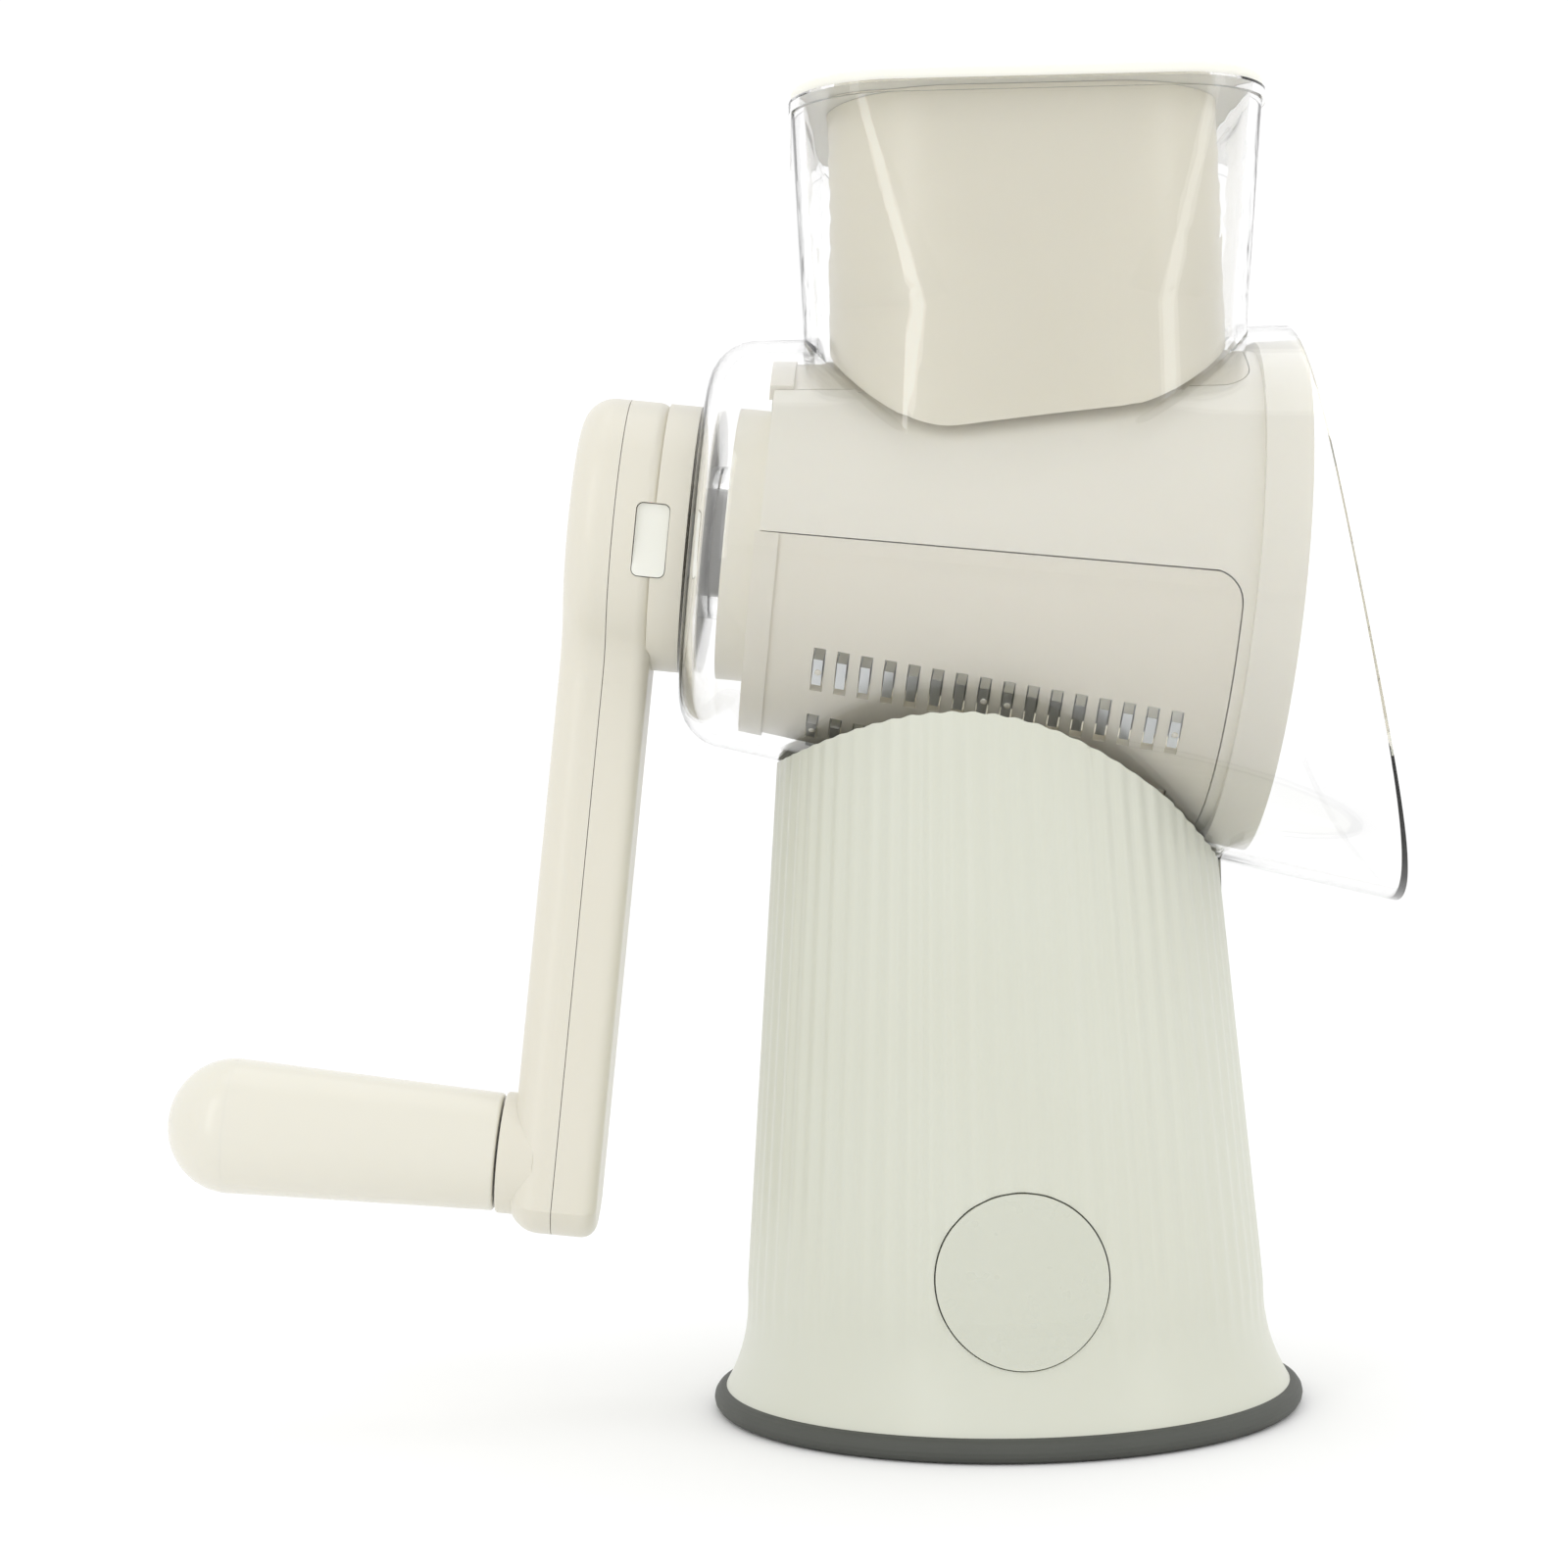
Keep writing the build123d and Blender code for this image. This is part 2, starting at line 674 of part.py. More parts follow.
def base_shell():
    body = shell_solid(0.0, shell_bottom, shell_top + 9)
    body -= shell_solid(shell_wall, shell_bottom - 1, shell_top + 10)
    foot = rod_z(shell_foot_radius - 1, shell_bottom, shell_bottom + 2) - rod_z(shell_foot_radius - 8, 0, 20)
    body += foot & shell_solid(0.0, shell_bottom, 60)
    for x, y in around(boss_ring, 4):
        turn = degrees(atan(y / x)) + (180 if x < 0 else 0)
        web = Rot(0, 0, turn) * block(boss_ring, boss_ring + 14, -1.5, 1.5, plate_high, 40)
        body += (rod_z(4.5, plate_high, 40, x, y) + web) & shell_solid(shell_wall / 2, 0, 100)
        body -= rod_z(1.4, plate_high - 1, 30, x, y)
    for x, y in around(cradle_boss_ring, 4):
        turn = degrees(atan(y / x)) + (180 if x < 0 else 0)
        web = Rot(0, 0, turn) * block(cradle_boss_ring, cradle_boss_ring + 16, -1.5, 1.5, 78, cradle_low)
        body += (rod_z(4, 78, cradle_low, x, y) + web) & shell_solid(shell_wall / 2, 0, 120)
        body -= rod_z(1.6, 70, cradle_low + 1, x, y)
    body -= rod_y(disc_radius + gap, -100, 0, 0, knob_height)
    body -= rod_y(disc_radius + gap, 0, 100, 0, knob_height)
    body -= saddle_cut(0.0)
    body -= AXIS * cone_x(housing_at, -120, 150, seat_gap)
    body -= block(lug_x0 - 4, 80, -9.5, 9.5, lug_low - 1.5, 200)
    return body


def shaft_cover():
    """Smooth disc in the front of the base, with a skirt and a flange that snaps behind the shell."""
    disc = rod_y(disc_radius, -100, 0, 0, knob_height)
    disc = disc & (shell_solid(-disc_stand, 0, 100) - shell_solid(cover_wall, 0, 100))
    skirt = rod_y(disc_radius, -100, 0, 0, knob_height)
    skirt -= rod_y(disc_radius - cover_wall, -100, 0, 0, knob_height)
    skirt = skirt & (shell_solid(0, 0, 100) - shell_solid(shell_wall + cover_wall, 0, 100))
    flange = rod_y(disc_radius + 2.5, -100, 0, 0, knob_height)
    flange -= rod_y(disc_radius - cover_wall, -100, 0, 0, knob_height)
    flange = flange & (shell_solid(shell_wall, 0, 100) - shell_solid(shell_wall + cover_wall, 0, 100))
    return disc + skirt + flange


def cradle():
    """Saddle plate in the top of the base that the feed housing stands on."""
    clearance = shell_wall + seat_gap
    body = shell_solid(clearance, cradle_low, shell_top + 8)
    body -= saddle_cut(-0.2)
    body -= AXIS * cone_x(housing_at, -120, 150, 0.2)
    hollow = shell_solid(clearance + 2.4, cradle_low + 3, shell_top + 8)
    lowered = Pos(0, 0, -3.2)
    hollow -= lowered * saddle_cut(-0.2)
    hollow -= lowered * (AXIS * cone_x(housing_at, -120, 150, 0.2))
    body -= hollow
    body -= rod_z(28, cradle_low - 1, cradle_low + 4)
    socket = block(-27.0, 15.0, -11, 11, axis_height - housing_radius - 18, axis_height - housing_radius + 4)
    socket -= AXIS * cone_x(housing_at, -120, 150, 0.2)
    body += socket & shell_solid(clearance + 2, cradle_low, shell_top)
    body -= block(-24.3, 12.3, -8.3, 8.3, axis_height - housing_radius - 14.3, 200)
    body -= block(lug_x0 - 3.6, 80, -8.6, 8.6, lug_low - 0.5, lug_low + 3.5)
    body -= block(lug_x0 - 0.4, 80, -8.6, 8.6, lug_low - 0.5, 200)
    for x, y in around(cradle_boss_ring, 4):
        body -= rod_z(2.0, cradle_low - 1, cradle_low + 4, x, y)
    return body


def cradle_screws():
    screws = []
    for x, y in around(cradle_boss_ring, 4):
        body = rod_z(3.4, cradle_low + 3, cradle_low + 5, x, y)
        body += rod_z(1.6, cradle_low - 12, cradle_low + 3, x, y)
        screws.append(body)
    return Compound(children=screws)


post_gap = 12.0
post_width = 5.0


def base_plate():
    """Chassis in the foot of the base, with the two bearings of the cam shaft."""
    body = rod_z(52, plate_low, plate_high) - rod_z(11.5, 0, 50)
    body += rod_z(14.5, plate_high - 1, plate_high + 4) - rod_z(11.5, 0, 50)
    for side in (-1, 1):
        low, high = sorted((side * post_gap, side * (post_gap + post_width)))
        post = block(-8, 8, low, high, plate_low + 1, knob_height)
        post += rod_y(8, low, high, 0, knob_height)
        body += post
    body -= rod_y(cam_shaft_radius + running_gap, -40, 40, 0, knob_height)
    for x, y in around(boss_ring, 4):
        body -= rod_z(1.8, 0, 20, x, y)
    return body


def base_plate_screws():
    screws = []
    for x, y in around(boss_ring, 4):
        head = rod_z(3.2, plate_low - 2, plate_low, x, y)
        screws.append(head + rod_z(1.4, plate_low, plate_high + 10, x, y))
    return Compound(children=screws)


def suction_cup():
    """Rubber cup: a round rim under the shell and a hollow diaphragm with a middle boss."""
    rim = cup_radius - cup_height / 2
    points = [(52, 0), (rim, 0)]
    steps = 8
    for i in range(1, steps):
        turn = -pi / 2 + pi * i / steps
        points.append((rim + cup_height / 2 * cos(turn), cup_height / 2 * (1 + sin(turn))))
    points += [
        (rim, cup_height), (shell_foot_radius - 9, cup_height), (40, 5.2), (20, 6.4), (10.5, 7.0),
        (10.5, 14.0), (0, 14.0), (0, 3.4), (20, 3.0), (40, 2.0),
    ]
    return turned_z(points)


def lift_stem():
    """Rod anchored in the cup, with a rectangular frame round the cam."""
    inner = cam_radius + cam_throw + 0.5
    top = knob_height + cam_radius - cam_throw * sin(pi / 4) + gap
    low = knob_height - cam_radius - cam_throw * sin(pi / 4) - 0.8
    outer, half = inner + frame_bar, cam_width / 2 - 0.5
    body = block(-outer, outer, -half, half, low - frame_bar, top + frame_bar)
    body -= block(-inner, inner, -20, 20, low, top)
    body += rod_z(stem_radius, 14.0, low - 1)
    return body


def stem_anchor():
    """Disc and screw under the stem, moulded into the cup boss."""
    return rod_z(10.0, 14.0, 15.4) - rod_z(stem_radius, 0, 30)


cam_shaft_front = -48.0
knob_inner = 46.0
knob_outer = 70.0
knob_base = 16.5


def cam_shaft():
    body = rod_y(cam_shaft_radius, cam_shaft_front, knob_inner + 6, 0, knob_height)
    offset = cam_throw * sin(pi / 4)
    body += rod_y(cam_radius, -cam_width / 2, cam_width / 2, offset, knob_height - offset)
    return body


def suction_knob():
    """Knob at the back with a raised grip bar. It turns the cam shaft."""
    body = rod_y(knob_base, knob_inner, shell_at(knob_height) + 1.5, 0, knob_height)
    body = fillet(body.edges().group_by(Axis.Y)[-1], 1.2)
    bar = Pos(0, 0, knob_height) * extrude(Plane.XZ * SlotOverall(2 * knob_base - 2, 9.0), -knob_outer)
    bar = bar & block(-50, 50, knob_inner + 2, knob_outer, 0, 80)
    bar = fillet(bar.edges().group_by(Axis.Y)[-1], 1.5)
    body += bar
    body -= rod_y(cam_shaft_radius, 0, knob_inner + 6, 0, knob_height)
    return body


def shaft_washer():
    """Washer and screw head that keep the cam shaft in, behind the front disc."""
    return rod_y(9, cam_shaft_front - 2, cam_shaft_front, 0, knob_height)


def export_all():
    half = 360.0 / panel_count
    pieces = {
        "feed_housing": feed_housing,
        "drive_bush": drive_bush,
        "drum_frame": drum_frame,
        "blade_panel_a": lambda: blade_panel(0.0),
        "blade_panel_b": lambda: blade_panel(half),
        "tooth_strips_a": lambda: tooth_strips(0.0),
        "tooth_strips_b": lambda: tooth_strips(half),
        "crank_core": crank_core,
        "crank_cover": crank_cover,
        "crank_screws": crank_screws,
        "drive_spindle": drive_spindle,
        "release_button_front": lambda: release_button(-1),
        "release_button_back": lambda: release_button(1),
        "grip_pin": grip_pin,
        "grip_sleeve": grip_sleeve,
        "grip_cap": grip_cap,
        "pusher_body": pusher_body,
        "pusher_cap": pusher_cap,
        "base_shell": base_shell,
        "shaft_cover": shaft_cover,
        "cradle": cradle,
        "cradle_screws": cradle_screws,
        "base_plate": base_plate,
        "base_plate_screws": base_plate_screws,
        "suction_cup": suction_cup,
        "lift_stem": lift_stem,
        "stem_anchor": stem_anchor,
        "cam_shaft": cam_shaft,
        "suction_knob": suction_knob,
        "shaft_washer": shaft_washer,
    }
    os.makedirs("parts", exist_ok=True)
    for name, make in pieces.items():
        print(name, flush=True)
        export_step(make(), f"parts/{name}.step")


export_all()
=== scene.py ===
# %% [markdown]
# # A hand-cranked cheese grater on a suction base
# Cream moulded plastic, one clear moulding, pressed steel combs and a rubber foot. The packed
# model brings every working part in at its real size. This lesson gives each part its finish,
# remakes the fluted shell and smooths the clear housing, whose looks depend on a fine mesh, and
# adds the small melted pins that hold the steel combs.

# %% Load the frame
import json
import math

import bmesh
import bpy
from mathutils import Matrix, Vector


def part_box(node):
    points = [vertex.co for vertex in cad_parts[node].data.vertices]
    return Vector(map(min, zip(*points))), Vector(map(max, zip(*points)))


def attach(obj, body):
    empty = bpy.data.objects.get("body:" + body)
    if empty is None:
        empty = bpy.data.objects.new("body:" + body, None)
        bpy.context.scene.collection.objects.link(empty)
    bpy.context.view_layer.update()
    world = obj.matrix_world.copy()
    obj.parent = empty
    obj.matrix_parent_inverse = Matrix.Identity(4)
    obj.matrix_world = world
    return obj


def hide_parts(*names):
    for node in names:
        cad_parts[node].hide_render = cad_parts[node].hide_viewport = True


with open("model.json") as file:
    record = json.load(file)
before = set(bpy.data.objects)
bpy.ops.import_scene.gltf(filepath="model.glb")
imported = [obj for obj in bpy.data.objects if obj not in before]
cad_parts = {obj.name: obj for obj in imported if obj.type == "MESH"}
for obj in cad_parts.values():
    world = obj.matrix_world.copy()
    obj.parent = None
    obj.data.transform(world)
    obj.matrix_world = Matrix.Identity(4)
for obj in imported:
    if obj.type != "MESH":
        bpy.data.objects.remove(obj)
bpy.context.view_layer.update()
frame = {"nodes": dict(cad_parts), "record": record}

MM = 0.001
nodes = frame["nodes"]
bodies = frame["record"]["behaviour"]["bodies"]
body_of_node = {node: body for body, members in bodies.items() for node in members}
slot_of_node = {part["node"]: part["material_slot"] for part in frame["record"]["subparts"]}
print("parts in the frame:", len(nodes))

# %% [markdown]
# ## Tools that every step uses
# A material is a small graph, so one function adds a node with its settings and its links. Paint
# charts give colours as sRGB hex, and a shader wants linear light, so one function converts.

# %% Helpers for materials


def linear(code):
    """An sRGB hex colour as linear RGBA."""
    parts = [int(code[i : i + 2], 16) / 255 for i in (0, 2, 4)]
    return [c / 12.92 if c <= 0.04045 else ((c + 0.055) / 1.055) ** 2.4 for c in parts] + [1.0]


def add_node(tree, kind, settings=None, links=None):
    """Adds a node. Settings are attributes or input values, links are input: (node, output)."""
    node = tree.nodes.new(kind)
    for key, value in (settings or {}).items():
        if hasattr(node, key) and key not in node.inputs:
            setattr(node, key, value)
        else:
            node.inputs[key].default_value = value
    for key, (source, output) in (links or {}).items():
        tree.links.new(source.outputs[output], node.inputs[key])
    return node


def new_material(name):
    """An empty material with its output node."""
    material = bpy.data.materials.new(name)
    material.use_nodes = True
    material.node_tree.nodes.clear()
    return material, material.node_tree


def per_metre(millimetres):
    """Scale of a pattern on Object coordinates whose grain is this many millimetres."""
    return 1 / (millimetres * MM)


# %% Helpers for shapes


def deselect():
    if bpy.context.object and bpy.context.object.mode != "OBJECT":
        bpy.ops.object.mode_set(mode="OBJECT")
    bpy.ops.object.select_all(action="DESELECT")


def pick(piece):
    """Makes one piece the only one selected."""
    deselect()
    piece.select_set(True)
    bpy.context.view_layer.objects.active = piece


def settle(piece, angle=35.0):
    """Applies the place to the mesh, so the object sits at the origin, and smooths gentle edges."""
    pick(piece)
    bpy.ops.object.transform_apply(location=True, rotation=True, scale=True)
    bpy.ops.object.shade_smooth_by_angle(angle=math.radians(angle))


def apply_all(piece):
    pick(piece)
    for modifier in list(piece.modifiers):
        bpy.ops.object.modifier_apply(modifier=modifier.name)


def cut(piece, cutter):
    """Takes a cutter's shape out of a piece and throws the cutter away."""
    modifier = piece.modifiers.new("cut", "BOOLEAN")
    modifier.operation = "DIFFERENCE"
    modifier.solver = "MANIFOLD"
    modifier.object = cutter
    apply_all(piece)
    bpy.data.objects.remove(cutter)


def merged_copy(node, name):
    """A copy of a frame part with its loose triangles joined, ready for smooth shading."""
    pick(nodes[node])
    bpy.ops.object.duplicate()
    piece = bpy.context.object
    piece.name = name
    piece.parent = None
    for key in [k for k in piece.keys() if k.startswith("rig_")]:
        del piece[key]
    bpy.ops.object.mode_set(mode="EDIT")
    bpy.ops.mesh.select_all(action="SELECT")
    bpy.ops.mesh.remove_doubles(threshold=0.01 * MM)
    bpy.ops.object.mode_set(mode="OBJECT")
    bpy.ops.mesh.customdata_custom_splitnormals_clear()
    settle(piece)
    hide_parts(node)
    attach(piece, body_of_node[node])
    return piece


def wear(piece, material):
    """Gives a piece one finish all over."""
    piece.data.materials.clear()
    piece.data.materials.append(material)


# %% [markdown]
# ## Moulded ABS
# Nearly all of the grater is injection-moulded ABS, dyed cream. Polished tools leave it semi
# glossy, so it shows soft, long highlights. Up close the surface isn't optically flat: it has
# a faint orange peel a few millimetres across, and the dye varies a little where the melt
# flowed. Both are far too faint to see as a pattern, but they break up the reflections.

# %% ABS


def moulded_abs(name, dyed, thick, roughness=0.32, peel=0.05):
    """ABS dyed one colour, slightly deeper where the melt ran thick."""
    material, tree = new_material(name)
    place = add_node(tree, "ShaderNodeTexCoord")
    flow = add_node(
        tree,
        "ShaderNodeTexNoise",
        {"Scale": per_metre(45), "Detail": 2.0},
        {"Vector": (place, "Object")},
    )
    tint = add_node(tree, "ShaderNodeMix", {"data_type": "RGBA"}, {"Factor": (flow, "Fac")})
    tint.inputs[6].default_value = linear(dyed)
    tint.inputs[7].default_value = linear(thick)
    orange_peel = add_node(
        tree,
        "ShaderNodeTexNoise",
        {"Scale": per_metre(3.5), "Detail": 1.0},
        {"Vector": (place, "Object")},
    )
    polish = add_node(
        tree,
        "ShaderNodeMapRange",
        {"To Min": roughness - 0.03, "To Max": roughness + 0.04},
        {"Value": (orange_peel, "Fac")},
    )
    bump = add_node(
        tree,
        "ShaderNodeBump",
        {"Strength": peel, "Distance": 0.1 * MM},
        {"Height": (orange_peel, "Fac")},
    )
    # ABS has an IOR of 1.54, and light enters it a little before it comes back.
    shader = add_node(
        tree,
        "ShaderNodeBsdfPrincipled",
        {"IOR": 1.54, "Subsurface Weight": 0.08, "Subsurface Scale": 1.5 * MM},
        {"Roughness": (polish, "Result"), "Normal": (bump, "Normal")},
    )
    shader.inputs["Subsurface Radius"].default_value = (1.0, 0.8, 0.5)
    tree.links.new(tint.outputs[2], shader.inputs["Base Color"])
    add_node(tree, "ShaderNodeOutputMaterial", {}, {"Surface": (shader, "BSDF")})
    return material


# The drum's cream is set lighter still, to make up for the light the clear housing takes from it:
# that extra brightness is painted light on the drum's own cream.
cream_drum = moulded_abs("cream_drum_abs", "F6F3E6", "F2EEDF", 0.30)
cream_panel = moulded_abs("cream_panel_abs", "F3EEDF", "EEE9D8", 0.34)
cream_crank = moulded_abs("cream_crank_abs", "DCD8CB", "D8D4C5", 0.30)
cream_grip = moulded_abs("cream_grip_abs", "DFDCD0", "DBD8CA", 0.20)
cream_pusher = moulded_abs("cream_pusher_abs", "F2EDDA", "EDE7D2", 0.30)
white_plate = moulded_abs("white_plate_abs", "F3F2E9", "EEEDE2", 0.32)
ribbed_shell = moulded_abs("ribbed_shell_abs", "CFD1C4", "CBCCBD", 0.33, peel=0.03)
cream_cover = moulded_abs("cream_cover_abs", "CACCBF", "C6C8B9", 0.28)
cream_cradle = moulded_abs("cream_cradle_abs", "DDDACB", "D7D3C3", 0.45)
button_white = moulded_abs("grey_white_button_abs", "EDEDE5", "E6E6DC", 0.25)
abs_count = sum(material.name.endswith("_abs") for material in bpy.data.materials)
print("ABS colours:", abs_count)

# %% [markdown]
# ## Clear SAN
# The feed housing is styrene-acrylonitrile, the clear cousin of ABS, out of a mirror-polished
# tool. It bends light with an IOR of 1.57, so its edges and rounded corners gather grey and
# white lines while its flat walls almost disappear. Lamps can't shine through a refracting
# shell, which would leave the drum dark, so rays from lamps meet a transparent shader.

# %% SAN


def clear_san(name):
    material, tree = new_material(name)
    place = add_node(tree, "ShaderNodeTexCoord")
    ripple = add_node(
        tree,
        "ShaderNodeTexNoise",
        {"Scale": per_metre(14), "Detail": 1.0},
        {"Vector": (place, "Object")},
    )
    bump = add_node(
        tree,
        "ShaderNodeBump",
        {"Strength": 0.04, "Distance": 0.1 * MM},
        {"Height": (ripple, "Fac")},
    )
    shader = add_node(
        tree,
        "ShaderNodeBsdfPrincipled",
        {
            "IOR": 1.57,
            "Roughness": 0.015,
            "Transmission Weight": 1.0,
            "Base Color": linear("FFFFFF"),
        },
        {"Normal": (bump, "Normal")},
    )
    lamps = add_node(tree, "ShaderNodeBsdfTransparent", {"Color": linear("FDFEFE")})
    ray = add_node(tree, "ShaderNodeLightPath")
    mix = add_node(tree, "ShaderNodeMixShader", {}, {"Fac": (ray, "Is Shadow Ray")})
    tree.links.new(shader.outputs["BSDF"], mix.inputs[1])
    tree.links.new(lamps.outputs["BSDF"], mix.inputs[2])
    add_node(tree, "ShaderNodeOutputMaterial", {}, {"Surface": (mix, "Shader")})
    return material


polished_san = clear_san("clear_polished_san")

# %% [markdown]
# ## Steel, acetal and rubber
# The combs are pressed from stainless strip, whose rolling lines run along it. Pins and screws
# are turned or zinc plated. Shafts, bush and chassis are white acetal, which is waxy and matt.
# The foot is moulded rubber: dark grey, nearly matt, with a fine grain from the tool.

# %% Metals


def rolled_stainless(name):
    """Stainless strip with rolling lines 0.3 mm apart, drawn coarser than the real ones to show."""
    material, tree = new_material(name)
    place = add_node(tree, "ShaderNodeTexCoord")
    stretch = add_node(
        tree,
        "ShaderNodeMapping",
        {
            "Scale": (per_metre(12), per_metre(0.3), per_metre(0.3)),
            "Rotation": (0, math.radians(-7), 0),
        },
        {"Vector": (place, "Object")},
    )
    lines = add_node(
        tree,
        "ShaderNodeTexNoise",
        {"Scale": 1.0, "Detail": 2.0},
        {"Vector": (stretch, "Vector")},
    )
    polish = add_node(
        tree, "ShaderNodeMapRange", {"To Min": 0.26, "To Max": 0.44}, {"Value": (lines, "Fac")}
    )
    bump = add_node(
        tree,
        "ShaderNodeBump",
        {"Strength": 0.15, "Distance": 0.02 * MM},
        {"Height": (lines, "Fac")},
    )
    shader = add_node(
        tree,
        "ShaderNodeBsdfPrincipled",
        {"Metallic": 1.0, "Base Color": linear("D3D6D8")},
        {"Roughness": (polish, "Result"), "Normal": (bump, "Normal")},
    )
    add_node(tree, "ShaderNodeOutputMaterial", {}, {"Surface": (shader, "BSDF")})
    return material


def plated_steel(name, colour, low, high):
    """Steel whose plating is uneven over a millimetre or so."""
    material, tree = new_material(name)
    place = add_node(tree, "ShaderNodeTexCoord")
    cloud = add_node(
        tree,
        "ShaderNodeTexNoise",
        {"Scale": per_metre(1.2), "Detail": 3.0},
        {"Vector": (place, "Object")},
    )
    polish = add_node(
        tree, "ShaderNodeMapRange", {"To Min": low, "To Max": high}, {"Value": (cloud, "Fac")}
    )
    shader = add_node(
        tree,
        "ShaderNodeBsdfPrincipled",
        {"Metallic": 1.0, "Base Color": linear(colour)},
        {"Roughness": (polish, "Result")},
    )
    add_node(tree, "ShaderNodeOutputMaterial", {}, {"Surface": (shader, "BSDF")})
    return material


comb_steel = rolled_stainless("rolled_stainless_comb")
pin_steel = plated_steel("turned_steel_pin", "C4C7CA", 0.2, 0.3)
screw_zinc = plated_steel("zinc_plated_screw", "BFC2C4", 0.32, 0.46)

# %% Acetal and rubber


def grained(name, colour, worn, roughness, grain_mm, depth_mm, ior):
    """A matt material with a grain left by the tool."""
    material, tree = new_material(name)
    place = add_node(tree, "ShaderNodeTexCoord")
    patch = add_node(
        tree,
        "ShaderNodeTexNoise",
        {"Scale": per_metre(20), "Detail": 2.0},
        {"Vector": (place, "Object")},
    )
    tint = add_node(tree, "ShaderNodeMix", {"data_type": "RGBA"}, {"Factor": (patch, "Fac")})
    tint.inputs[6].default_value = linear(colour)
    tint.inputs[7].default_value = linear(worn)
    grain = add_node(
        tree,
        "ShaderNodeTexNoise",
        {"Scale": per_metre(grain_mm), "Detail": 3.0},
        {"Vector": (place, "Object")},
    )
    bump = add_node(
        tree,
        "ShaderNodeBump",
        {"Strength": 0.4, "Distance": depth_mm * MM},
        {"Height": (grain, "Fac")},
    )
    shader = add_node(
        tree,
        "ShaderNodeBsdfPrincipled",
        {"IOR": ior, "Roughness": roughness},
        {"Normal": (bump, "Normal")},
    )
    tree.links.new(tint.outputs[2], shader.inputs["Base Color"])
    add_node(tree, "ShaderNodeOutputMaterial", {}, {"Surface": (shader, "BSDF")})
    return material


white_acetal = grained("white_acetal", "EFEEE8", "E7E5DC", 0.48, 0.6, 0.03, 1.48)
dark_rubber = grained("dark_grey_rubber", "42443F", "4B4D47", 0.62, 0.5, 0.05, 1.52)

# %% Dress the frame's parts
finish_of_slot = {
    "clear_san": polished_san,
    "pom_bush": white_acetal,
    "pom_spindle": white_acetal,
    "pom_chassis": white_acetal,
    "cream_drum": cream_drum,
    "cream_panel": cream_panel,
    "cream_crank": cream_crank,
    "cream_grip": cream_grip,
    "cream_pusher": cream_pusher,
    "white_plate": white_plate,
    "ribbed_shell": ribbed_shell,
    "cream_cover": cream_cover,
    "cream_cradle": cream_cradle,
    "grey_white_button": button_white,
    "stainless_comb": comb_steel,
    "steel_pin": pin_steel,
    "zinc_screw": screw_zinc,
    "black_rubber": dark_rubber,
}
for node, part in nodes.items():
    wear(part, finish_of_slot[slot_of_node[node]])
print("dressed:", len(nodes))

# %% [markdown]
# ## The fluted shell
# The base is one tall moulding with upright flutes all round, a foot that flares out smooth, and
# a saddle cut into its top where the housing lies. Flutes could be painted on as bump, but
# they catch the light at the outline too, so here they are real: a ring of edges is extruded
# upwards step by step, and at each step every flute's crest is pushed out and its valley in.

# %% Sizes of the shell
shell_low, shell_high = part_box("base_shell")
foot_radius = shell_high.x
foot_height = shell_low.z
straight_height = 27 * MM
straight_radius = 56.6 * MM
top_radius = 46.4 * MM
top_height = 152 * MM
shell_wall = 2.6 * MM
flute_count = 66
flute_depth = 0.22 * MM
flute_start = 14 * MM
flute_full = 34 * MM
columns_per_flute = 6
flare_power = 2.4
flare_steps = 9
straight_steps = 16
uncut_height = 160 * MM


def shell_radius(height):
    """Radius of the shell before the flutes."""
    if height < straight_height:
        share = (height - foot_height) / (straight_height - foot_height)
        return straight_radius + (foot_radius - straight_radius) * (1 - share) ** flare_power
    share = (height - straight_height) / (top_height - straight_height)
    return straight_radius + (top_radius - straight_radius) * share


def flute_strength(height):
    """The flutes fade in above the foot."""
    share = min(max((height - flute_start) / (flute_full - flute_start), 0.0), 1.0)
    return flute_depth * share * share * (3 - 2 * share)


# %% Extrude the shell
columns = flute_count * columns_per_flute


def steps_up(low, high, count):
    """Evenly spaced heights above the low one, up to the high one."""
    return [low + (high - low) * i / count for i in range(1, count + 1)]


flare_heights = steps_up(foot_height, straight_height, flare_steps)
straight_heights = steps_up(straight_height, uncut_height, straight_steps)
deselect()
bpy.ops.mesh.primitive_circle_add(
    vertices=columns, radius=foot_radius, location=(0, 0, foot_height)
)
shell = bpy.context.object
shell.name = "fluted_shell"
bpy.ops.object.transform_apply(location=True)
bpy.ops.object.mode_set(mode="EDIT")
bpy.ops.mesh.select_all(action="SELECT")
height = foot_height
for above in flare_heights + straight_heights:
    bpy.ops.mesh.extrude_edges_move(TRANSFORM_OT_translate={"value": (0, 0, above - height)})
    grow = shell_radius(above) / shell_radius(height)
    bpy.ops.transform.resize(value=(grow, grow, 1), center_override=(0, 0, above))
    height = above


def push_columns(rings, offset, share):
    """Moves one column of every flute out, or in, by a share of the flute's depth."""
    mesh = bmesh.from_edit_mesh(shell.data)
    for ring in rings:
        for vertex in mesh.verts:
            around = math.atan2(vertex.co.y, vertex.co.x) / (2 * math.pi) * columns
            column = round(around) % columns_per_flute
            vertex.select = abs(vertex.co.z - ring) < 0.01 * MM and column == offset
        mesh.select_flush_mode()
        radius = shell_radius(ring)
        factor = (radius + flute_strength(ring) * share) / radius
        bpy.ops.transform.resize(value=(factor, factor, 1), center_override=(0, 0, ring))


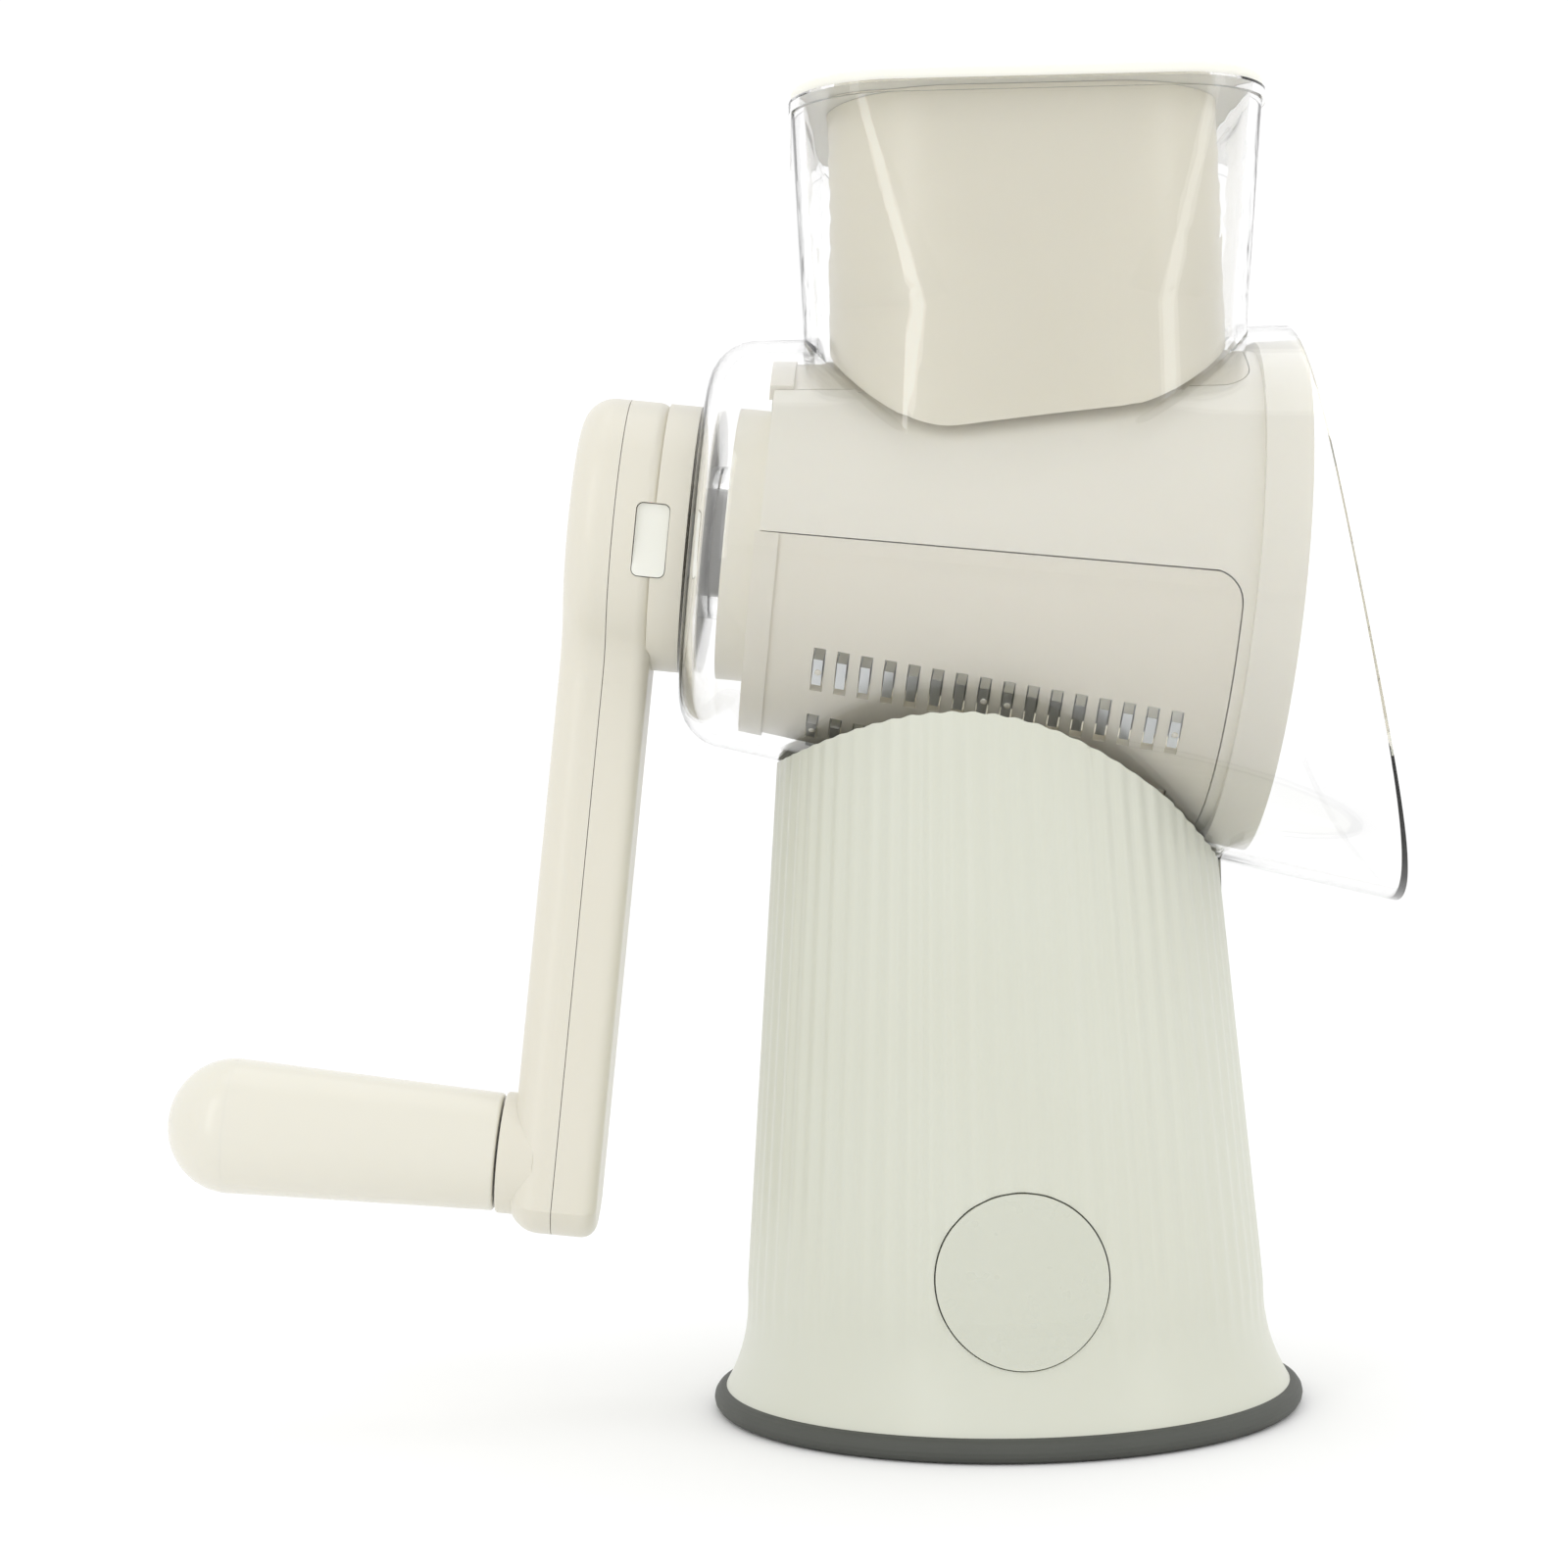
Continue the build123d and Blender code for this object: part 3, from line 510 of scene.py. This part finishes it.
bpy.ops.mesh.select_mode(type="VERT")
fluted_rings = [h for h in flare_heights + straight_heights if flute_strength(h) > 0]
for offset in range(columns_per_flute):
    share = math.cos(2 * math.pi * offset / columns_per_flute)
    push_columns(fluted_rings, offset, share)
bpy.ops.mesh.select_all(action="SELECT")
bpy.ops.mesh.normals_make_consistent(inside=False)
bpy.ops.object.mode_set(mode="OBJECT")
first_face = shell.data.polygons[0]
if first_face.normal.dot(first_face.center * Vector((1, 1, 0))) < 0:
    # An open tube has no inside, so its faces may all point inwards.
    shell.data.flip_normals()
thickness = shell.modifiers.new("wall", "SOLIDIFY")
thickness.thickness = shell_wall
thickness.offset = -1
apply_all(shell)
print("shell faces:", len(shell.data.polygons))

# %% Cut the saddle, the holes and the latch slot
axis_height = 184 * MM
axis_tilt = math.radians(7)
housing_radius = 52 * MM
housing_slope = math.tan(math.radians(7.2))
saddle_radius = 68 * MM
saddle_tilt = math.radians(13)
saddle_lowest = 131.4 * MM
saddle_middle = saddle_lowest + saddle_radius / math.cos(saddle_tilt)
quarter_turn = math.pi / 2
fine_circle = 256
saddle_cutter_length = 300 * MM
deselect()
bpy.ops.mesh.primitive_cylinder_add(
    vertices=fine_circle,
    radius=saddle_radius,
    depth=saddle_cutter_length,
    location=(0, 0, saddle_middle),
    rotation=(0, quarter_turn + saddle_tilt, 0),
)
cut(shell, bpy.context.object)

half_length = 100 * MM
clearance = 0.3 * MM
deselect()
bpy.ops.mesh.primitive_cone_add(
    vertices=fine_circle,
    radius1=housing_radius - half_length * housing_slope + clearance,
    radius2=housing_radius + half_length * housing_slope + clearance,
    depth=2 * half_length,
    location=(0, 0, axis_height),
    rotation=(0, quarter_turn + axis_tilt, 0),
)
cut(shell, bpy.context.object)

knob_height = 35.3 * MM
hole_radius = 18 * MM
hole_cutter_length = 200 * MM
deselect()
bpy.ops.mesh.primitive_cylinder_add(
    vertices=128,
    radius=hole_radius,
    depth=hole_cutter_length,
    location=(0, 0, knob_height),
    rotation=(quarter_turn, 0, 0),
)
cut(shell, bpy.context.object)

slot_low = Vector((42.2, -9.5, 99.5)) * MM
slot_high = Vector((80, 9.5, 200)) * MM
deselect()
bpy.ops.mesh.primitive_cube_add(size=1, location=(slot_low + slot_high) / 2)
bpy.context.object.scale = slot_high - slot_low
cut(shell, bpy.context.object)

# %% [markdown]
# The saddle's edge is moulded with a plain lip, so the flutes stop short of it. The points along
# that edge are moved out to the crest of the flutes, which takes most of the ripple out of it.

# %% Smooth the lip of the saddle
saddle_axis = Vector((math.cos(saddle_tilt), 0, -math.sin(saddle_tilt)))
edge_reach = 0.05 * MM
lip_points = 0
for vertex in shell.data.vertices:
    place = vertex.co - Vector((0, 0, saddle_middle))
    from_axis = (place - saddle_axis * place.dot(saddle_axis)).length
    radius = math.hypot(vertex.co.x, vertex.co.y)
    outer = shell_radius(vertex.co.z)
    if abs(from_axis - saddle_radius) < edge_reach and abs(radius - outer) < 2 * flute_depth:
        grow = (outer + flute_depth) / radius
        vertex.co.x *= grow
        vertex.co.y *= grow
        lip_points += 1
print("points on the lip:", lip_points)
settle(shell, angle=28)
wear(shell, ribbed_shell)
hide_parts("base_shell")
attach(shell, "base")
print("shell after cutting:", len(shell.data.polygons))

# %% [markdown]
# ## The clear housing
# Its shape is exact already, but a refracting wall shows every facet, so its triangles are
# joined and shaded smooth in a copy.

# %% Smooth the housing
housing = merged_copy("feed_housing", "clear_housing")
wear(housing, polished_san)
print("housing faces:", len(housing.data.polygons))

# %% [markdown]
# ## Heat stakes
# Each comb is held by four plastic pins that stand up through it and are melted over into low
# round heads: at both ends and beside the middle. A head is a millimetre and a half across, so
# each is a small ball, flattened, and set on its tooth.

# %% Melt the pin heads
tooth_count = 16
tooth_pitch = 5.0 * MM
tooth_row_centre = 2.5 * MM
drum_radius = 46.6 * MM
tooth_stand = 0.5 * MM
panel_span = 130
row_spacing = 25.5
head_radius = 0.75 * MM
head_flatness = 0.45
staked_teeth = (0, 7, 8, 15)
rows_from_middle = (-1, 0, 1)
panel_starts = {"a": 0, "b": 180}
drum_place = Matrix.Translation((0, 0, axis_height)) @ Matrix.Rotation(axis_tilt, 4, "Y")


def stake_head(angle, along):
    """One head on the tooth at an angle below the front and a distance along the drum."""
    radius = drum_radius + along * housing_slope + tooth_stand
    out = Vector((0, -math.cos(angle), -math.sin(angle)))
    place = drum_place @ (Vector((along, 0, 0)) + out * radius)
    turn = (drum_place.to_3x3() @ out).to_track_quat("Z", "Y")
    bpy.ops.mesh.primitive_uv_sphere_add(
        segments=14, ring_count=8, radius=head_radius, location=place
    )
    head = bpy.context.object
    head.rotation_euler = turn.to_euler()
    head.scale = (1, 1, head_flatness)
    return head


for letter, panel_start in panel_starts.items():
    deselect()
    heads = []
    for row in rows_from_middle:
        row_angle = math.radians(panel_start + panel_span / 2 + row * row_spacing)
        for tooth in staked_teeth:
            along = tooth_row_centre + (tooth - (tooth_count - 1) / 2) * tooth_pitch
            heads.append(stake_head(row_angle, along))
    deselect()
    for head in heads:
        head.select_set(True)
    bpy.context.view_layer.objects.active = heads[0]
    bpy.ops.object.join()
    stakes = bpy.context.object
    stakes.name = f"heat_stakes_{letter}"
    settle(stakes, angle=60)
    wear(stakes, cream_panel)
    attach(stakes, "drum")
print("heat stakes:", len(panel_starts) * len(rows_from_middle) * len(staked_teeth))

# %% [markdown]
# ## Stage, light and camera
# The grater stands on a pale floor in a bright, even studio. A white world gives the flat light.
# Two tall strips add the long highlights on the grip and the hub, and one soft lamp lights the top.

# %% Stage
deselect()
bpy.ops.mesh.primitive_plane_add(size=12, location=(0, 0, 0))
floor = bpy.context.object
floor.name = "pale_floor"
pale, tree = new_material("pale_floor_paint")
paper = add_node(
    tree, "ShaderNodeBsdfPrincipled", {"Base Color": linear("F8F8F8"), "Roughness": 0.9}
)
add_node(tree, "ShaderNodeOutputMaterial", {}, {"Surface": (paper, "BSDF")})
wear(floor, pale)

world = bpy.data.worlds.new("studio")
bpy.context.scene.world = world
world.use_nodes = True
world.node_tree.nodes["Background"].inputs["Color"].default_value = (1, 1, 1, 1)
world.node_tree.nodes["Background"].inputs["Strength"].default_value = 1.08


def softbox(name, place, width, height, watts):
    """A soft lamp that faces the middle of the grater."""
    light = bpy.data.lights.new(name, "AREA")
    light.shape = "RECTANGLE"
    light.size = width
    light.size_y = height
    light.energy = watts
    lamp = bpy.data.objects.new(name, light)
    bpy.context.scene.collection.objects.link(lamp)
    lamp.location = place
    aim = Vector((0, 0, 0.15)) - Vector(place)
    lamp.rotation_euler = aim.to_track_quat("-Z", "Y").to_euler()


softbox("key_strip", (-1.0, -1.2, 0.7), 0.3, 1.8, 2.6)
softbox("fill_strip", (1.3, -0.8, 0.7), 0.35, 1.8, 2.2)
softbox("top_softbox", (0.1, 0.3, 1.7), 1.2, 1.2, 2.5)

# %% Camera
camera = bpy.data.objects.new("camera", bpy.data.cameras.new("camera"))
bpy.context.scene.collection.objects.link(camera)
camera.data.sensor_width = 36
camera.data.lens = 67.5
camera.location = (-0.046, -0.652, 0.1375)
camera_roll = 0.025
camera.rotation_euler = (quarter_turn, camera_roll, 0)
bpy.context.scene.camera = camera
bpy.context.scene.view_settings.view_transform = "Standard"
